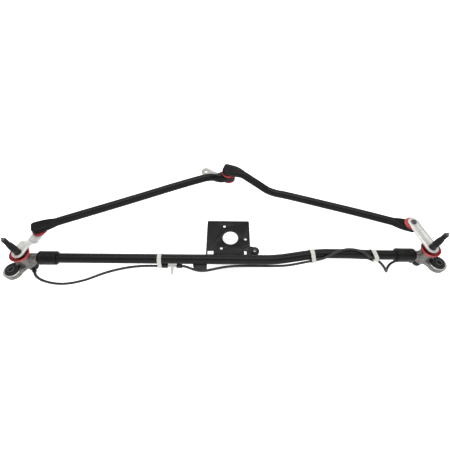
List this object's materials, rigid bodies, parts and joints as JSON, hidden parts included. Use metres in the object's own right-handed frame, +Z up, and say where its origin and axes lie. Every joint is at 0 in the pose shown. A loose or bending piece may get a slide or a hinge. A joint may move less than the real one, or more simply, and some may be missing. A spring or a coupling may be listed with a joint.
{
  "type": "windshield wiper linkage",
  "caption": "Windshield wiper linkage: a frame tube with a pivot at each end, motor plate, two drive links, levers, crank and washer hose.",
  "frame": {"origin": "on the top face of the motor plate, on its front strip, 16 mm behind the tube's axis", "axes": "+X along the frame tube to the right pivot, +Y from the pivots towards the centre joint, +Z up along the wiper shafts"},
  "size_m": [0.9695, 0.3132, 0.1265],
  "materials": {
    "paint": "black satin paint on steel tube and pressed steel",
    "rubber": "matt black rubber",
    "casting": "as-cast aluminium, dull grey",
    "zinc": "pale zinc plate, low sheen",
    "steel": "plain steel",
    "bronze": "oiled sintered bronze",
    "shaft": "black phosphated steel",
    "red_rubber": "dark red moulded rubber",
    "white_plastic": "natural white plastic",
    "black_plastic": "black moulded plastic",
    "nylon": "natural nylon"
  },
  "bodies": {
    "frame": {"left_collar": "paint", "left_pivot_housing": "casting", "left_upper_bush": "bronze", "left_lower_bush": "bronze", "left_eye_grommet": "rubber", "left_eye_sleeve": "steel", "left_pivot_seal": "red_rubber", "left_hose_elbow": "black_plastic", "left_hose": "rubber", "left_band": "white_plastic", "right_collar": "paint", "right_pivot_housing": "casting", "right_upper_bush": "bronze", "right_lower_bush": "bronze", "right_eye_grommet": "rubber", "right_eye_sleeve": "steel", "right_pivot_seal": "red_rubber", "right_hose_elbow": "black_plastic", "right_hose": "rubber", "right_band": "white_plastic", "main_tube": "paint", "motor_plate": "paint", "ear_grommet": "rubber", "ear_sleeve": "steel", "support_block": "rubber", "tee_fitting": "white_plastic", "tee_left_sleeve": "black_plastic", "tee_right_sleeve": "black_plastic", "middle_band": "white_plastic"},
    "left_pivot": {"left_pivot_shaft": "shaft", "left_washer_nozzle": "steel", "left_circlip": "steel", "left_lever": "zinc", "left_ball_stud": "steel"},
    "right_pivot": {"right_pivot_shaft": "shaft", "right_washer_nozzle": "steel", "right_circlip": "steel", "right_lever": "zinc", "right_ball_stud": "steel"},
    "left_rod": {"left_link": "paint", "left_outer_socket": "nylon", "left_inner_socket": "nylon", "left_outer_boot": "red_rubber"},
    "right_rod": {"right_link": "paint", "right_outer_socket": "nylon", "right_inner_socket": "nylon", "right_outer_boot": "red_rubber"},
    "crank": {"crank_arm": "zinc", "double_ball_stud": "steel", "centre_lower_boot": "red_rubber", "centre_upper_boot": "red_rubber"}
  },
  "joints": [
    {"name": "left_pivot_turn", "type": "hinge", "parent": "frame", "child": "left_pivot", "pos_m": [-0.44, -0.022, 0.032], "axis": [0, 0, 1], "range_deg": [-25, 25]},
    {"name": "left_rod_turn", "type": "hinge", "parent": "left_pivot", "child": "left_rod", "pos_m": [-0.42171, 0.04349, 0.0295], "axis": [0, 0, 1], "range_deg": [-27, 27]},
    {"name": "crank_turn", "type": "hinge", "parent": "left_rod", "child": "crank", "pos_m": [0.007, 0.207, 0.0295], "axis": [0, 0, 1], "continuous": true},
    {"name": "right_pivot_turn", "type": "hinge", "parent": "frame", "child": "right_pivot", "pos_m": [0.445, -0.001, 0.032], "axis": [0, 0, 1], "range_deg": [-26, 26]},
    {"name": "right_rod_turn", "type": "hinge", "parent": "right_pivot", "child": "right_rod", "pos_m": [0.42751, 0.06471, 0.0205], "axis": [0, 0, 1], "range_deg": [-27, 27]}
  ],
  "couplings": [
    {"joint": "left_rod_turn", "follows": "left_pivot_turn", "ratio": -1.0372},
    {"joint": "right_pivot_turn", "follows": "left_pivot_turn", "ratio": 1},
    {"joint": "right_rod_turn", "follows": "left_pivot_turn", "ratio": -1.0442}
  ]
}
